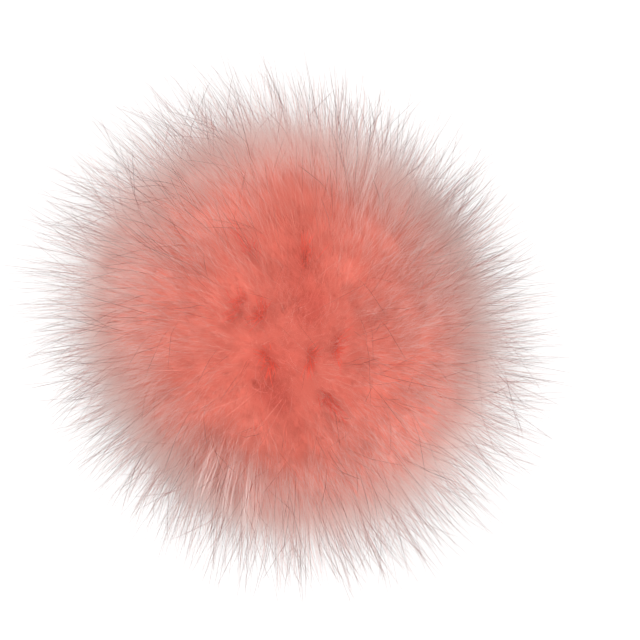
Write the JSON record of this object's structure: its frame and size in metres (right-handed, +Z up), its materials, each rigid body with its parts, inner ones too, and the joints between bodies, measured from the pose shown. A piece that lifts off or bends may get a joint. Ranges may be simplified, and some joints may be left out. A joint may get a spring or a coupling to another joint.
{
  "type": "faux-fur pom pom with sew-on snap",
  "caption": "Round ball of long faux-fur pile, sewn to a flat round metal snap underneath, whose lower half is stitched through its slots to a hat, bag or garment.",
  "frame": {"origin": "centre of the snap's open back, on the flat end of its head, in the plane that the part stands on", "axes": "+Z up from the snap through the ball, +Y the upper side of the picture, which looks down on the ball"},
  "size_m": [0.1283, 0.1297, 0.1117],
  "materials": {
    "fur": "long soft acrylic pile, coral at the root, pale at the tip, with dark guard hairs",
    "steel": "nickel-plated pressed steel"
  },
  "bodies": {
    "root": {"fur_ball": "fur", "snap_stud_half": "steel", "snap_socket_half": "steel", "snap_spring_a": "steel", "snap_spring_b": "steel"}
  },
  "joints": []
}
